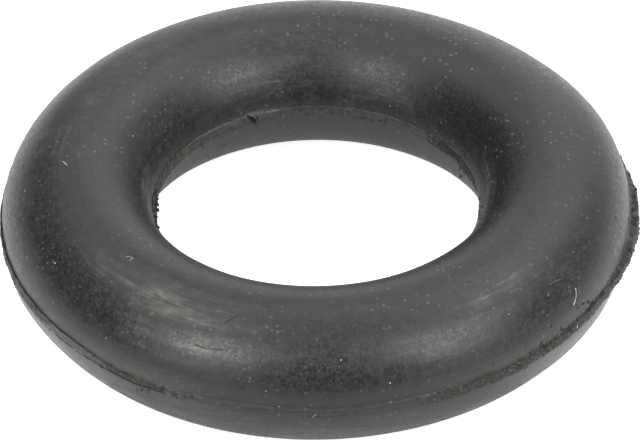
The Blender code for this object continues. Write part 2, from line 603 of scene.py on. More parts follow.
class RubberSheet(NodeSheet):
    """The rubber's node tree: the masks that several of its layers share, and those layers."""

    def __init__(self, finish: RubberFinish, cuts: tuple[Cut, ...]) -> None:
        """Makes the shared masks.

        Args:
            finish: The rubber's tones, scales and reliefs.
            cuts: The cuts in the skin.
        """
        super().__init__("moulded_rubber")
        self.finish = finish
        self.along = self.flow_coordinates(*finish.streak_rates)
        self.mottle = self.clouds(finish.mottle_scale, 5.0, 0.6)
        self.fine = self.clouds(finish.fine_scale, 3.0)
        self.grain = self.clouds(finish.grain_scale, 2.0)
        self.torn = self.torn_mask()
        # painted shade in the creases at the land's edges, broken up by noise
        shaded_creases = self.product(self.layer("crease_shade"), self.clouds(finish.crease_shade_scale, 3.0))
        self.crease_shade = self.stretch_range(shaded_creases, *finish.crease_shade_ramp)
        # painted shade: patches darkened where the ring lies in shade, broken up by fine noise
        self.painted_shade = self.product(self.layer("painted_shade"), self.stretch_range(self.fine, *finish.painted_shade_ramp))
        self.nicked = self.near_cut(cuts[0])
        for cut in cuts[1:]:
            self.nicked = self.calculate("MAXIMUM", self.nicked, self.near_cut(cut))

    def flow_coordinates(self, round_rate: float, across_rate: float) -> Socket:
        """Coordinates that stretch a texture along the ring, as the rubber flowed in the mould.

        Args:
            round_rate: Features in a radian round the ring.
            across_rate: Features in a radian of the section.

        Returns:
            A vector's socket that changes slowly round the ring and fast across its section.
        """
        x, y, z = self.put("SeparateXYZ", {0: self.place}).outputs
        flat = self.put("CombineXYZ", {"X": x, "Y": y}).outputs[0]
        facing = self.vector("NORMALIZE", flat).outputs[0]
        slow = self.vector("SCALE", facing, scale=round_rate).outputs[0]
        slow_x, slow_y, _ = self.put("SeparateXYZ", {0: slow}).outputs
        length = self.vector("LENGTH", flat).outputs["Value"]
        outward = self.calculate("SUBTRACT", length, self.finish.crown_radius)
        across = self.product(self.calculate("ARCTAN2", z, outward), across_rate)
        return self.put("CombineXYZ", {"X": slow_x, "Y": slow_y, "Z": across}).outputs[0]

    def torn_mask(self) -> Socket:
        """Share of torn rubber, with a ragged edge.

        Returns:
            A value's socket, 0 on the skin and 1 on the break.
        """
        ragged = self.clouds(self.finish.ragged_scale, 4.0)
        spread = self.product(self.calculate("SUBTRACT", ragged, 0.5), self.finish.torn_spread)
        return self.stretch_range(self.calculate("ADD", self.layer("torn"), spread), *self.finish.torn_ramp)

    def bloom_and_highlight(self) -> Socket:
        """Pale bloom, with painted highlights and painted floor light, broken up into clouds, streaks and
        strokes along the ring.

        Returns:
            A value's socket, the share of bloom and of painted highlights and floor light.
        """
        strokes = self.clouds(1.0, 3.0, 0.8, self.flow_coordinates(*self.finish.stroke_rates))
        streaks = self.clouds(1.0, 4.0, place=self.along)
        share = self.layer("bloom_and_highlight")
        for texture, ramp in (
            (self.mottle, self.finish.bloom_and_highlight_mottle_ramp),
            (streaks, self.finish.bloom_and_highlight_streak_ramp),
            (self.fine, self.finish.bloom_and_highlight_fine_ramp),
            (strokes, self.finish.bloom_and_highlight_stroke_ramp),
        ):
            share = self.product(share, self.stretch_range(texture, *ramp))
        return share

    def specks(self) -> Socket:
        """Fine dust that lies in drifts.

        Returns:
            A value's socket, the share of dust.
        """
        sources = {"Vector": self.place, "Scale": self.finish.speck_scale}
        spots = self.put("TexVoronoi", sources, feature="F1")
        near = self.stretch_range(spots.outputs["Distance"], *self.finish.speck_ramp)
        chosen = self.put("SeparateColor", {0: spots.outputs["Color"]}).outputs[0]
        kept = self.stretch_range(chosen, *self.finish.speck_choice_ramp)
        drift = self.stretch_range(self.mottle, *self.finish.speck_drift_ramp)
        return self.product(self.product(near, kept), drift)

    def torn_colour(self) -> Socket:
        """Colour of the torn rubber: brownish, with pale crumbs and paler stretches, darkened by painted
        shade in the shaded patches.

        Returns:
            A colour's socket.
        """
        crumbs = self.stretch_range(self.clouds(self.finish.grain_scale, 3.0), *self.finish.crumb_ramp)
        pale = self.product(self.layer("pale"), self.stretch_range(self.fine, *self.finish.pale_ramp))
        colour = self.blend(crumbs, self.finish.torn_tone, self.finish.crumb_tone)
        colour = self.blend(pale, colour, self.finish.pale_torn_tone)
        # painted shade darkens the torn rubber in the shaded patches
        return self.blend(self.painted_shade, colour, self.finish.painted_shade_tone)

    def colour(self) -> Socket:
        """Colour of the whole ring: the skin under haze, painted shade, bloom with painted highlights and
        floor light, and dust, then the torn rubber, painted shade in the creases and painted shade in the
        cuts.

        Returns:
            A colour's socket.
        """
        haze = self.mixed(0.5, self.grain, self.fine)
        haze = self.stretch_range(haze, *self.finish.haze_ramp, 0.0, self.finish.haze_share)
        # the lower half paler: partly its own tone, partly painted floor light
        colour = self.blend(self.layer("wall"), self.finish.tone, self.finish.wall_and_floor_light_tone)
        for share, tone in (
            (haze, self.finish.speck_tone),
            # painted shade: darker patches on the bore's shoulders, the front band and the bore land
            (self.painted_shade, self.finish.painted_shade_tone),
            # pale bloom, with painted highlights and painted floor light
            (self.bloom_and_highlight(), self.finish.bloom_and_highlight_tone),
            (self.specks(), self.finish.speck_tone),
            (self.torn, self.torn_colour()),
            # painted shade in the land's creases
            (self.crease_shade, self.finish.crease_and_cut_shade_tone),
            # painted shade in the cuts
            (self.nicked, self.finish.crease_and_cut_shade_tone),
        ):
            colour = self.blend(share, colour, tone)
        return colour

    def roughness(self) -> Socket:
        """Roughness: satin and mottled on the skin, less where it is polished, and dull on the break.

        Returns:
            A value's socket.
        """
        satin = self.mixed(self.layer("polish"), self.finish.dull, self.finish.polished)
        satin = self.mixed(self.layer("wall"), satin, self.finish.wall_dull)
        grainy = self.mixed(self.finish.mottling_grain, self.fine, self.grain)
        swing = self.finish.mottling / 2
        patchy = self.stretch_range(grainy, *self.finish.mottling_ramp, -swing, swing)
        broken = self.calculate("MAXIMUM", self.calculate("MAXIMUM", self.torn, self.crease_shade), self.nicked)
        return self.mixed(broken, self.calculate("ADD", satin, patchy), self.finish.torn_dull)

    def normal(self) -> Socket:
        """Bump, finest first: the skin's grain, its flow marks, the crumbled break and the cuts.

        Returns:
            A normal's socket.
        """
        flow = self.clouds(self.finish.flow_mark_scale, 3.0, place=self.along)
        crumbled = self.product(self.clouds(self.finish.crumbled_scale, 4.0), self.torn)
        uncut = self.calculate("SUBTRACT", 1.0, self.nicked)
        normal = self.relief(self.fine, self.finish.fine_relief, self.finish.fine_strength)
        for height, depth, strength in (
            (self.grain, self.finish.grain_relief, self.finish.grain_strength),
            (flow, self.finish.flow_relief, self.finish.flow_strength),
            (crumbled, self.finish.crumbled_relief, 1.0),
            (uncut, self.finish.nick_relief, self.finish.nick_strength),
        ):
            normal = self.relief(height, depth, strength, normal)
        return normal


@dataclass(frozen=True)
class LintFinish:
    """Pale dust and fibres, some of them greyed by the rubber under them."""

    tone: Colour = (0.62, 0.61, 0.58, 1.0)
    grey_tone: Colour = (0.17, 0.17, 0.16, 1.0)
    dull: float = 0.9
    patch_scale: float = 700.0
    patch_ramp: Ramp = (0.42, 0.62)

    def build(self) -> bpy.types.Material:
        """Builds the material, which varies from grain to grain.

        Returns:
            The material.
        """
        sheet = NodeSheet("pale_lint")
        patchy = sheet.stretch_range(sheet.clouds(self.patch_scale), *self.patch_ramp)
        sheet.feed(sheet.shader.inputs["Base Color"], sheet.blend(patchy, self.grey_tone, self.tone))
        sheet.shader.inputs["Roughness"].default_value = self.dull
        return sheet.material


FAINT_LINT = LintFinish(tone=(0.17, 0.17, 0.16, 1.0), grey_tone=(0.055, 0.055, 0.055, 1.0))
FIBRE_LINT = LintFinish(grey_tone=(0.35, 0.35, 0.34, 1.0))


@dataclass(frozen=True)
class CrumbFinish:
    """Torn crumbs of rubber: nearly black, with brown and pale grains."""

    tone: Colour = (0.017, 0.016, 0.014, 1.0)
    pale_tone: Colour = (0.110, 0.100, 0.080, 1.0)
    dull: float = 0.75
    grain_scale: float = 3200.0
    grain_ramp: Ramp = (0.55, 0.72)
    bump_scale: float = 2600.0
    bump_depth: float = 0.15 * MM

    def build(self) -> bpy.types.Material:
        """Builds the material.

        Returns:
            The material.
        """
        sheet = NodeSheet("rubber_crumbs")
        grains = sheet.stretch_range(sheet.clouds(self.grain_scale, 3.0), *self.grain_ramp)
        sheet.feed(sheet.shader.inputs["Base Color"], sheet.blend(grains, self.tone, self.pale_tone))
        normal = sheet.relief(sheet.clouds(self.bump_scale, 3.0), self.bump_depth, 1.0)
        sheet.feed(sheet.shader.inputs["Normal"], normal)
        sheet.shader.inputs["Roughness"].default_value = self.dull
        return sheet.material


@dataclass(frozen=True)
class PhotoCamera:
    """The camera, at the place and angle that the ring's outline in the photograph gives."""

    elevation: float = 37.95
    roll: float = 0.585
    yaw: float = 0.0401
    pitch: float = 0.0827
    distance: float = 0.56262
    pixels_per_radian: float = 5711.8
    width: int = 640
    height: int = 440
    sensor: float = 36.0
    nearest: float = 0.01
    farthest: float = 20.0

    def matrix(self) -> Matrix:
        """The camera's place and turn in the world."""
        tilt = math.radians(self.elevation)
        place = Vector((0.0, -math.cos(tilt), math.sin(tilt))) * self.distance
        turn = (
            Matrix.Rotation(math.radians(90.0) - tilt, 4, "X")
            @ Matrix.Rotation(-math.radians(self.yaw), 4, "Y")
            @ Matrix.Rotation(-math.radians(self.pitch), 4, "X")
            @ Matrix.Rotation(-math.radians(self.roll), 4, "Z")
        )
        return Matrix.Translation(place) @ turn

    def ray(self, across: float, down: float) -> tuple[Vector, Vector]:
        """The line of sight through a pixel of the photograph.

        Args:
            across: Pixels from the left edge.
            down: Pixels from the top edge.

        Returns:
            The camera's place, and the direction.
        """
        seen = Vector((across - self.width / 2, self.height / 2 - down, -self.pixels_per_radian))
        matrix = self.matrix()
        return matrix.translation, (matrix.to_3x3() @ seen).normalized()

    def look(self, thing: bpy.types.Object, across: float, down: float) -> Spot | None:
        """The place and normal that a pixel shows, or None where it shows nothing of the object."""
        origin, direction = self.ray(across, down)
        hit, place, normal, _ = thing.ray_cast(origin, direction)
        return (place, normal) if hit else None

    def spot_on(self, thing: bpy.types.Object, name: str, across: float, down: float) -> Spot:
        """The place on an object that a pixel of the photograph shows.

        Args:
            thing: The object that is seen there.
            name: The mark that goes there, for the message if nothing shows.
            across: Pixels from the left edge.
            down: Pixels from the top edge.

        Returns:
            The place and the surface's normal there.
        """
        spot = self.look(thing, across, down)
        if spot is None:
            raise ValueError(f"{name}: nothing of {thing.name} shows at {across}, {down}")
        return spot

    def build(self) -> bpy.types.Object:
        """Adds the camera to the scene and looks through it.

        Returns:
            The camera.
        """
        lens = bpy.data.cameras.new("photo_camera")
        lens.sensor_fit = "HORIZONTAL"
        lens.sensor_width = self.sensor
        lens.lens = self.pixels_per_radian / self.width * self.sensor
        lens.clip_start = self.nearest
        lens.clip_end = self.farthest
        camera = bpy.data.objects.new("photo_camera", lens)
        bpy.context.scene.collection.objects.link(camera)
        camera.matrix_world = self.matrix()
        bpy.context.scene.camera = camera
        return camera


@dataclass(frozen=True)
class Nick:
    """A thin cut in the skin, by the pixels of the photograph where it starts and ends."""

    name: str
    start: tuple[float, float]
    end: tuple[float, float]
    width: float
    share: float = 0.5
    depth: float = 0.0

    def find(self, ring: bpy.types.Object, camera: PhotoCamera) -> Cut:
        """Places the cut on the ring.

        Args:
            ring: The ring that it is in.
            camera: The camera that sees it.

        Returns:
            The cut, by its ends in the ring's own frame.
        """
        start, _ = camera.spot_on(ring, self.name, *self.start)
        end, _ = camera.spot_on(ring, self.name, *self.end)
        return Cut(start, end, self.width, self.share, self.depth)


@dataclass
class MouldedRing:
    """The rubber ring: an oval section turned round the bore, with a torn land outside and inside.

    The bore's wall steps back over step_share of the land's height, and the paler lower half, partly its own
    tone and partly painted floor light, fades in over wall_fade degrees of the section. Patches lay each
    layer of the finish, and bulges push the skin out where the outline is fuller than an oval.
    """

    outer_radius: float = 30.9 * MM
    bore_radius: float = 15.95 * MM
    crown_flat: float = 1.2 * MM
    crown_shift: float = 0.4 * MM
    lower_bore_step: float = 0.65 * MM
    turn_steps: int = 1200
    quarter_steps: int = 10
    crowding: float = 1.5
    smooth_below: float = 38.0
    step_share: float = 0.25
    wall_fade: float = 8.0
    outer_land: PartingLand = PartingLand(
        side=Side.OUTSIDE,
        top=0.70 * MM,
        bottom=-0.52 * MM,
        rows=20,
        level=1.5,
        lip=0.17 * MM,
        groove_depth=0.05 * MM,
        crease_shade_width=0.14 * MM,
        raised=(
            Stretch(-86.0, -78.0, -52.0, -42.0, 0.12 * MM),
            Stretch(-34.0, -20.0, 14.0, 28.0, 0.25 * MM),
            Stretch(-140.0, -128.0, -114.0, -107.0, -0.25 * MM),
        ),
        lips=(Stretch(168.0, 171.0, 177.0, 181.0, -0.10 * MM),),
        flares=(Stretch(-34.0, -20.0, 14.0, 28.0, 0.34 * MM),),
        # painted shade in the creases along the land's edges
        upper_crease_shade=(
            Stretch(-180.0, -172.0, -156.0, -144.0, 0.5),
            Stretch(-136.0, -130.0, -124.0, -112.0, 0.35),
        ),
        lower_crease_shade=(
            Stretch(-148.0, -141.0, -121.0, -115.0, 1.0),
            Stretch(-96.0, -92.0, -80.0, -72.0, 0.6),
        ),
        flash=(
            Stretch(-34.0, -17.0, 14.0, 30.0, 0.34 * MM),
            Stretch(-22.0, -10.0, 1.0, 13.0, 0.35 * MM),
            Stretch(-62.0, -56.0, -40.0, -30.0, 0.06 * MM),
        ),
        torn=(
            Stretch(-76.0, -58.0, 14.0, 26.0, 0.85),
            Stretch(-184.0, -174.0, -158.0, -140.0, 0.55),
            Stretch(-136.0, -128.0, -120.0, -108.0, 0.40),
            Stretch(40.0, 70.0, 150.0, 170.0, 0.30),
        ),
        least_torn=0.18,
    )
    bore_land: PartingLand = PartingLand(
        side=Side.BORE,
        top=1.05 * MM,
        bottom=-0.40 * MM,
        rows=14,
        level=12.0,
        lip=0.14 * MM,
        groove_depth=0.0,
        crease_shade_width=0.16 * MM,
        raised=(Stretch(2.0, 14.0, 30.0, 42.0, 0.10 * MM),),
        lips=(
            Stretch(170.0, 174.0, 184.0, 192.0, 0.13 * MM),
            Stretch(-52.0, -30.0, 26.0, 44.0, -0.34 * MM),
        ),
        flash=(),
        torn=(
            Stretch(120.0, 150.0, 195.0, 210.0, 0.55),
            Stretch(-40.0, -20.0, 32.0, 50.0, 0.80),
            Stretch(50.0, 70.0, 120.0, 140.0, 0.30),
        ),
        least_torn=0.12,
        # painted shade in the creases along the land's edges
        upper_crease_shade=(
            Stretch(-8.0, 4.0, 30.0, 44.0, 1.0),
            Stretch(140.0, 150.0, 175.0, 190.0, 0.7),
        ),
        lower_crease_shade=(Stretch(100.0, 112.0, 160.0, 176.0, 0.75),),
    )
    # Pale bloom, and painted light: the cores of the two front highlights, the light ledge of the bore land
    # and floor light on the lower half.
    bloom_and_highlight: tuple[Patch, ...] = (
        Patch(-110.5, 41.0, 6.0, 6.0, 0.95),
        Patch(-114.0, 36.0, 15.0, 11.0, 0.50),
        Patch(-119.0, 66.0, 11.0, 8.0, 1.30),
        Patch(-136.0, 62.0, 11.0, 10.0, 0.30),
        Patch(-66.0, 38.0, 12.0, 11.0, 0.55),
        Patch(-50.0, 63.0, 9.0, 9.0, 0.80),
        Patch(-34.0, 40.0, 3.0, 3.0, 0.35),
        Patch(64.0, 155.0, 16.0, 6.0, 0.55),
        Patch(95.0, 175.0, 34.0, 4.0, 0.36),
        Patch(117.0, 172.5, 14.0, 2.5, 0.80),
        Patch(100.0, 132.0, 20.0, 20.0, 0.26),
        Patch(150.0, 150.0, 30.0, 14.0, 0.14),
        Patch(150.0, 70.0, 40.0, 30.0, 0.20),
        Patch(-4.0, 150.0, 18.0, 6.0, 0.95),
        Patch(-174.0, 157.0, 14.0, 7.0, 0.65),
        Patch(95.0, 146.0, 20.0, 8.0, 0.35),
        Patch(-138.0, -10.0, 26.0, 14.0, 0.48),
        Patch(-134.0, -32.0, 30.0, 16.0, 0.66),
        Patch(-52.0, -28.0, 28.0, 16.0, 0.52),
        Patch(-90.0, -34.0, 34.0, 12.0, 0.20),
    )
    # Painted shade: darker patches on the bore's shoulders, the front band and the bore land, where they lie
    # in shade.
    painted_shade: tuple[Patch, ...] = (
        Patch(45.0, 146.0, 34.0, 20.0, 0.90),
        Patch(8.0, 138.0, 24.0, 14.0, 0.60),
        Patch(135.0, 150.0, 24.0, 14.0, 0.40),
        Patch(-90.0, 14.0, 22.0, 7.0, 0.5),
        Patch(-36.0, 8.0, 12.0, 4.0, 0.5),
        Patch(26.0, 175.0, 24.0, 5.0, 0.75),
    )
    pale: tuple[Patch, ...] = (
        Patch(-168.0, 0.0, 24.0, 12.0, 1.0),
        Patch(-138.0, 0.0, 16.0, 12.0, 0.3),
        Patch(110.0, 176.0, 50.0, 12.0, 0.55),
        Patch(165.0, 176.0, 20.0, 12.0, 0.25),
        Patch(-6.0, 0.0, 24.0, 12.0, 0.75),
        Patch(22.0, -172.0, 16.0, 9.0, 0.8),
    )
    scuffs: tuple[Patch, ...] = (
        Patch(22.0, -172.0, 14.0, 9.0, 0.65),
        Patch(160.0, -176.0, 16.0, 5.0, 0.35),
    )
    polish: tuple[Patch, ...] = (
        Patch(-112.0, 38.0, 26.0, 26.0, 0.45),
        Patch(-62.0, 38.0, 22.0, 26.0, 0.35),
    )
    bulges: tuple[Patch, ...] = (
        Patch(22.0, 24.0, 20.0, 20.0, 0.34 * MM),
        Patch(-90.0, -46.0, 60.0, 18.0, 0.15 * MM),
        Patch(-26.0, -30.0, 15.0, 16.0, 0.16 * MM),
        Patch(-160.0, -14.0, 14.0, 14.0, 0.16 * MM),
        Patch(-28.0, 150.0, 18.0, 20.0, -0.22 * MM),
    )
    # Cuts, painted darker as shade in them; the deeper ones are also sunk into the mesh.
    nicks: tuple[Nick, ...] = (
        Nick("front_left_scratch", (224.0, 323.5), (239.0, 315.0), 0.13 * MM, 0.75),
        Nick("highlight_scratch", (195.0, 345.0), (206.0, 348.5), 0.08 * MM, 0.6),
        Nick("second_highlight_scratch", (210.0, 349.0), (222.0, 350.0), 0.08 * MM, 0.5),
        Nick("bore_cut_high", (248.5, 116.5), (251.0, 118.5), 0.20 * MM, 1.0, 0.45 * MM),
        Nick("bore_cut_middle", (251.0, 118.5), (254.0, 120.5), 0.22 * MM, 1.0, 0.50 * MM),
        Nick("bore_cut_low", (254.0, 120.5), (256.5, 124.0), 0.24 * MM, 1.0, 0.45 * MM),
        Nick("bore_cut_branch", (256.5, 123.5), (258.0, 118.0), 0.16 * MM, 0.7, 0.25 * MM),
    )
    thickness: float = field(init=False)
    crown_radius: float = field(init=False)

    def __post_init__(self) -> None:
        """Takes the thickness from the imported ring, and works out the crown's radius."""
        low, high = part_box(RING_NODE)
        self.thickness = high.z - low.z
        self.crown_radius = (self.outer_radius + self.bore_radius) / 2 - self.crown_shift

    def quarter(self, reach: float, edge_heights: np.ndarray) -> tuple[np.ndarray, np.ndarray]:
        """One quarter of the section, crown to land, at every step of the turn.

        Args:
            reach: From the crown line to the wall, in metres.
            edge_heights: Height of the land's edge above or below the parting plane.

        Returns:
            Distances from the crown line and heights without sign, a row for each step.
        """
        crown_angle = math.acos(self.crown_flat / 2 / reach)
        half_height = self.thickness / 2 / math.sin(crown_angle)
        land_angle = np.arcsin(np.abs(edge_heights) / half_height)[:, None]
        share = 1 - (1 - np.arange(self.quarter_steps + 1) / self.quarter_steps) ** self.crowding
        angle = crown_angle + (land_angle - crown_angle) * share[None, :]
        return reach * np.cos(angle), half_height * np.sin(angle)

    def land_rows(
        self, land: PartingLand, azimuths: np.ndarray, tops: np.ndarray, bottoms: np.ndarray
    ) -> tuple[np.ndarray, np.ndarray, np.ndarray, np.ndarray]:
        """The land's rows between its two edges, roughened where it was torn.

        Args:
            land: The land to build.
            azimuths: Degrees from +X, one for each step of the turn.
            tops: Height of the upper edge at each step.
            bottoms: Height of the lower edge at each step.

        Returns:
            Radii, heights, shares of torn rubber and shares of painted shade in the creases, a row for each
            step.
        """
        wall = self.outer_radius if land.side is Side.OUTSIDE else self.bore_radius
        share = (np.arange(land.rows) + 1.0) / (land.rows + 1.0)
        first, last = (tops, bottoms) if land.side is Side.OUTSIDE else (bottoms, tops)
        heights = first[:, None] * (1 - share) + last[:, None] * share
        walls = self.wall_radii(land, heights)
        lips = land.lip + total_at(land.lips, azimuths)
        rises = land.lip_rise + total_at(land.flares, azimuths)
        flash = total_at(land.flash, azimuths)
        upper_crease_shade, lower_crease_shade = total_at(land.upper_crease_shade, azimuths), total_at(land.lower_crease_shade, azimuths)
        tornness = land.tornness(azimuths)
        radii, torn, crease_shade = np.zeros_like(heights), np.zeros_like(heights), np.zeros_like(heights)
        for step, azimuth in enumerate(np.radians(azimuths)):
            x, y = wall * math.cos(azimuth), wall * math.sin(azimuth)
            for row, height in enumerate(heights[step]):
                drop, climb = tops[step] - height, height - bottoms[step]
                away = min(eased(drop / rises[step]), eased(climb / land.lip_rise))
                onset = rises[step] + flash[step] * land.flash_onset
                past_lip = (drop - onset) / land.lip_rise + land.bare_overlap
                bare = min(eased(past_lip), eased(climb / land.lip_rise))
                rough = land.roughness_at(Vector((x, y, height)))
                rough *= land.clean_roughness + (1.0 - land.clean_roughness) * tornness[step]
                rough *= 1.0 + flash[step] / land.flash_rise * land.flash_roughening
                stand = land.stand_at(drop, climb, rises[step], lips[step], flash[step])
                radii[step, row] = walls[step, row] + land.side.value * (stand + rough * away)
                torn[step, row] = tornness[step] * bare
                crease_shade[step, row] = land.crease_shade_at(drop, climb, upper_crease_shade[step], lower_crease_shade[step])
        return radii, heights, torn, crease_shade

    def wall_radii(self, land: PartingLand, heights: np.ndarray) -> np.ndarray:
        """Radius of the wall behind a land, which steps back beneath the parting plane in the bore.

        Args:
            land: The land that stands on the wall.
            heights: Heights from the parting plane.

        Returns:
            The radius of the wall at each height.
        """
        if land.side is Side.OUTSIDE:
            return np.full_like(heights, self.outer_radius)
        below = np.clip((heights - land.bottom) / (land.top - land.bottom), 0.0, 1.0)
        stepped = self.lower_bore_step * np.clip(1.0 - below / self.step_share, 0.0, 1.0)
        return self.bore_radius + stepped

    def grid(self) -> Grid:
        """The whole surface, down the outside and up through the bore.

        Returns:
            The grid of points, with how torn each one is.
        """
        azimuths = np.arange(self.turn_steps) * 360.0 / self.turn_steps
        reach_out = self.outer_radius - self.crown_radius
        reach_in = self.crown_radius - self.bore_radius
        radii, heights, torn, crease_shade = [], [], [], []
        for land, first_reach, last_reach in (
            (self.outer_land, reach_out, reach_out),
            (self.bore_land, reach_in - self.lower_bore_step, reach_in),
        ):
            outward = land.side.value
            wall = self.outer_radius if land.side is Side.OUTSIDE else self.bore_radius
            tops = land.edge_heights(azimuths, wall, upper=True)
            bottoms = land.edge_heights(azimuths, wall, upper=False)
            first_edge, last_edge = (tops, bottoms) if land.side is Side.OUTSIDE else (bottoms, tops)
            near, far = self.quarter(first_reach, first_edge), self.quarter(last_reach, last_edge)
            face = self.land_rows(land, azimuths, tops, bottoms)
            near_radii, far_radii = (self.crown_radius + outward * part[0] for part in (near, far))
            radii += [near_radii, face[0], far_radii[:, ::-1]]
            heights += [outward * near[1], face[1], -outward * far[1][:, ::-1]]
            torn += [np.zeros_like(near[0]), face[2], np.zeros_like(far[0])]
            crease_shade += [np.zeros_like(near[0]), face[3], np.zeros_like(far[0])]
        azimuth = np.repeat(azimuths[:, None], sum(part.shape[1] for part in radii), axis=1)
        radius, height = np.hstack(radii), np.hstack(heights)
        section = np.arctan2(height, radius - self.crown_radius)
        push = sum_over(self.bulges, azimuth, np.degrees(section))
        radius, height = radius + push * np.cos(section), height + push * np.sin(section)
        return Grid(radius, height, np.hstack(torn), np.hstack(crease_shade), azimuth)

    def build(self, camera: PhotoCamera) -> bpy.types.Object:
        """Builds the ring and dresses it.

        Args:
            camera: The camera, whose pixels place the nicks.

        Returns:
            The ring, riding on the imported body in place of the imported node.
        """
        grid = self.grid()
        steps, points = grid.radius.shape
        mesh = bpy.data.meshes.new("rubber_ring")
        faces = []
        for step in range(steps):
            following = (step + 1) % steps
            for point in range(points):
                beside = (point + 1) % points
                faces.append(
                    (
                        step * points + point,
                        step * points + beside,
                        following * points + beside,
                        following * points + point,
                    )
                )
        places = np.clip(grid.places(), CAD_BOX[0], CAD_BOX[1])
        mesh.from_pydata(places.tolist(), [], faces)
        mesh.update()
        self.add_layers(mesh, grid)
        mesh.shade_smooth()
        mesh.set_sharp_from_angle(angle=math.radians(self.smooth_below))
        ring = bpy.data.objects.new("rubber_ring", mesh)
        bpy.context.scene.collection.objects.link(ring)
        bpy.context.view_layer.update()
        cuts = tuple(nick.find(ring, camera) for nick in self.nicks)
        self.sink(mesh, cuts)
        mesh.materials.append(RubberFinish(crown_radius=self.crown_radius).build(cuts))
        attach(ring, BODY)
        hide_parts(RING_NODE)
        return ring

    def sink(self, mesh: bpy.types.Mesh, cuts: tuple[Cut, ...]) -> None:
        """Opens the deeper cuts in the mesh.

        Args:
            mesh: The ring's mesh.
            cuts: All cuts; those without depth stay in the finish alone.
        """
        places = np.array([vertex.co for vertex in mesh.vertices])
        normals = np.array([vertex.normal for vertex in mesh.vertices])
        depth = np.max([cut.sunk(places) for cut in cuts], axis=0)
        mesh.vertices.foreach_set("co", (places - normals * depth[:, None]).ravel())
        mesh.update()

    def add_layers(self, mesh: bpy.types.Mesh, grid: Grid) -> None:
        """Stores on the mesh what the finish varies with.

        Args:
            mesh: The ring's mesh.
            grid: The points that it was made from.
        """
        section = np.degrees(np.arctan2(grid.height, grid.radius - self.crown_radius))
        layers = {
            # Painted light in these layers: shade in the land's creases and in the shaded patches, and
            # highlights and floor light with the pale bloom.
            "torn": grid.torn + sum_over(self.scuffs, grid.azimuth, section),
            "crease_shade": grid.crease_shade,
            "bloom_and_highlight": sum_over(self.bloom_and_highlight, grid.azimuth, section),
            "painted_shade": sum_over(self.painted_shade, grid.azimuth, section),
            "pale": sum_over(self.pale, grid.azimuth, section),
            "polish": sum_over(self.polish, grid.azimuth, section),
            "wall": self.wall_share(section),
        }
        for name, values in layers.items():
            layer = mesh.attributes.new(name, "FLOAT", "POINT")
            layer.data.foreach_set("value", np.clip(values, 0.0, 1.0).astype(np.float32).ravel())

    def wall_share(self, section: np.ndarray) -> np.ndarray:
        """Where the ring has its paler lower half, partly painted floor light: 1 below the parting plane and
        0 above it.
        """
        below = np.where(section < 0, -section, 0.0)
        return np.clip(below / self.wall_fade, 0.0, 1.0)


@dataclass(frozen=True)
class Grain:
    """A grain that the photograph shows, by its pixel there and its width."""

    name: str
    across: float
    down: float
    width: float


@dataclass(frozen=True)
class Drift:
    """A loose group of grains, by its middle pixel, its reach in pixels and the usual grain's width.

    The grains' own widths are that one times a number between the two of widths.
    """

    name: str
    across: float
    down: float
    reach_across: float
    reach_down: float
    count: int
    width: float
    widths: tuple[float, float] = (0.4, 1.25)

    def grains(self, draw: random.Random) -> list[Grain]:
        """The grains of the drift.

        Args:
            draw: The source of where they lie.

        Returns:
            The grains, thickest on the ground in the middle.
        """
        found = []
        for index in range(self.count):
            across = draw.gauss(self.across, self.reach_across)
            down = draw.gauss(self.down, self.reach_down)
            width = self.width * draw.uniform(*self.widths)
            found.append(Grain(f"{self.name}_{index}", across, down, width))
        return found


@dataclass(frozen=True)
class Fibre:
    """A fibre that the photograph shows, by the pixels that it passes through."""

    name: str
    pixels: tuple[tuple[float, float], ...]
    width: float = 0.05 * MM
    faint: bool = False


